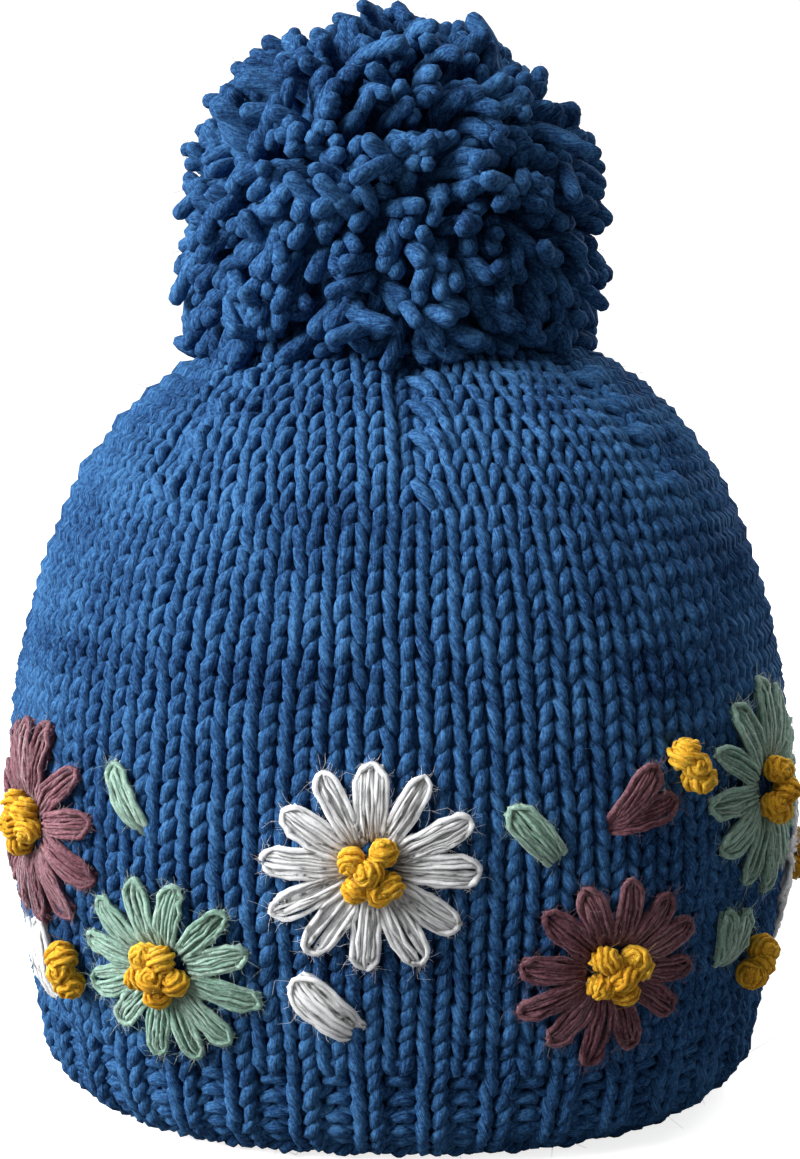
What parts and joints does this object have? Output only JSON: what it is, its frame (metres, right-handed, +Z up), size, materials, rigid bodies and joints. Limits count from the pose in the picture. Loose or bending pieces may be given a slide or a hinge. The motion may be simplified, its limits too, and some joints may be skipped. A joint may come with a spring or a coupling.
{
  "type": "knitted beanie",
  "caption": "Chunky hand-knitted beanie with a ribbed brim, a big pompom and a band of wool-embroidered daisies, buds and leaves.",
  "frame": {"origin": "middle of the hat's outline on the surface that its brim rests on", "axes": "+Z up towards the pompom, the front of the hat, with the white daisy, towards -Y, +X to the right seen from the front"},
  "size_m": [0.1791, 0.1692, 0.222],
  "materials": {
    "blue_wool": "thick two-ply wool yarn with a soft halo, heathered denim blue",
    "white_wool": "soft loosely spun wool, matte",
    "rose_wool": "soft loosely spun wool, heathered dusty rose",
    "sage_wool": "soft loosely spun wool, heathered sage green",
    "mustard_wool": "firm wool yarn wound into knots, matte mustard"
  },
  "bodies": {
    "root": {"ribbed_brim": "blue_wool", "crown": "blue_wool", "pompom": "blue_wool", "daisy_front_white_petals": "white_wool", "daisy_front_white_knots": "mustard_wool", "daisy_front_left_sage_petals": "sage_wool", "daisy_front_left_sage_knots": "mustard_wool", "daisy_left_rose_petals": "rose_wool", "daisy_left_rose_knots": "mustard_wool", "daisy_front_right_rose_petals": "rose_wool", "daisy_front_right_rose_knots": "mustard_wool", "daisy_right_sage_petals": "sage_wool", "daisy_right_sage_knots": "mustard_wool", "daisy_right_white_petals": "white_wool", "daisy_right_white_knots": "mustard_wool", "daisy_back_right_rose_petals": "rose_wool", "daisy_back_right_rose_knots": "mustard_wool", "daisy_back_right_sage_petals": "sage_wool", "daisy_back_right_sage_knots": "mustard_wool", "daisy_back_white_petals": "white_wool", "daisy_back_white_knots": "mustard_wool", "daisy_back_left_rose_petals": "rose_wool", "daisy_back_left_rose_knots": "mustard_wool", "daisy_back_left_sage_petals": "sage_wool", "daisy_back_left_sage_knots": "mustard_wool", "daisy_left_white_petals": "white_wool", "daisy_left_white_knots": "mustard_wool", "bud_right_rose_petals": "rose_wool", "bud_right_rose_knots": "mustard_wool", "bud_right_sage_petals": "sage_wool", "bud_right_sage_knots": "mustard_wool", "bud_left_white_petals": "white_wool", "bud_left_white_knots": "mustard_wool", "bud_back_rose_petals": "rose_wool", "bud_back_rose_knots": "mustard_wool", "bud_back_sage_petals": "sage_wool", "bud_back_sage_knots": "mustard_wool", "leaf_left_sage": "sage_wool", "leaf_front_white": "white_wool", "leaf_front_sage": "sage_wool", "leaf_back_right_sage": "sage_wool", "leaf_back_white": "white_wool"}
  },
  "joints": []
}
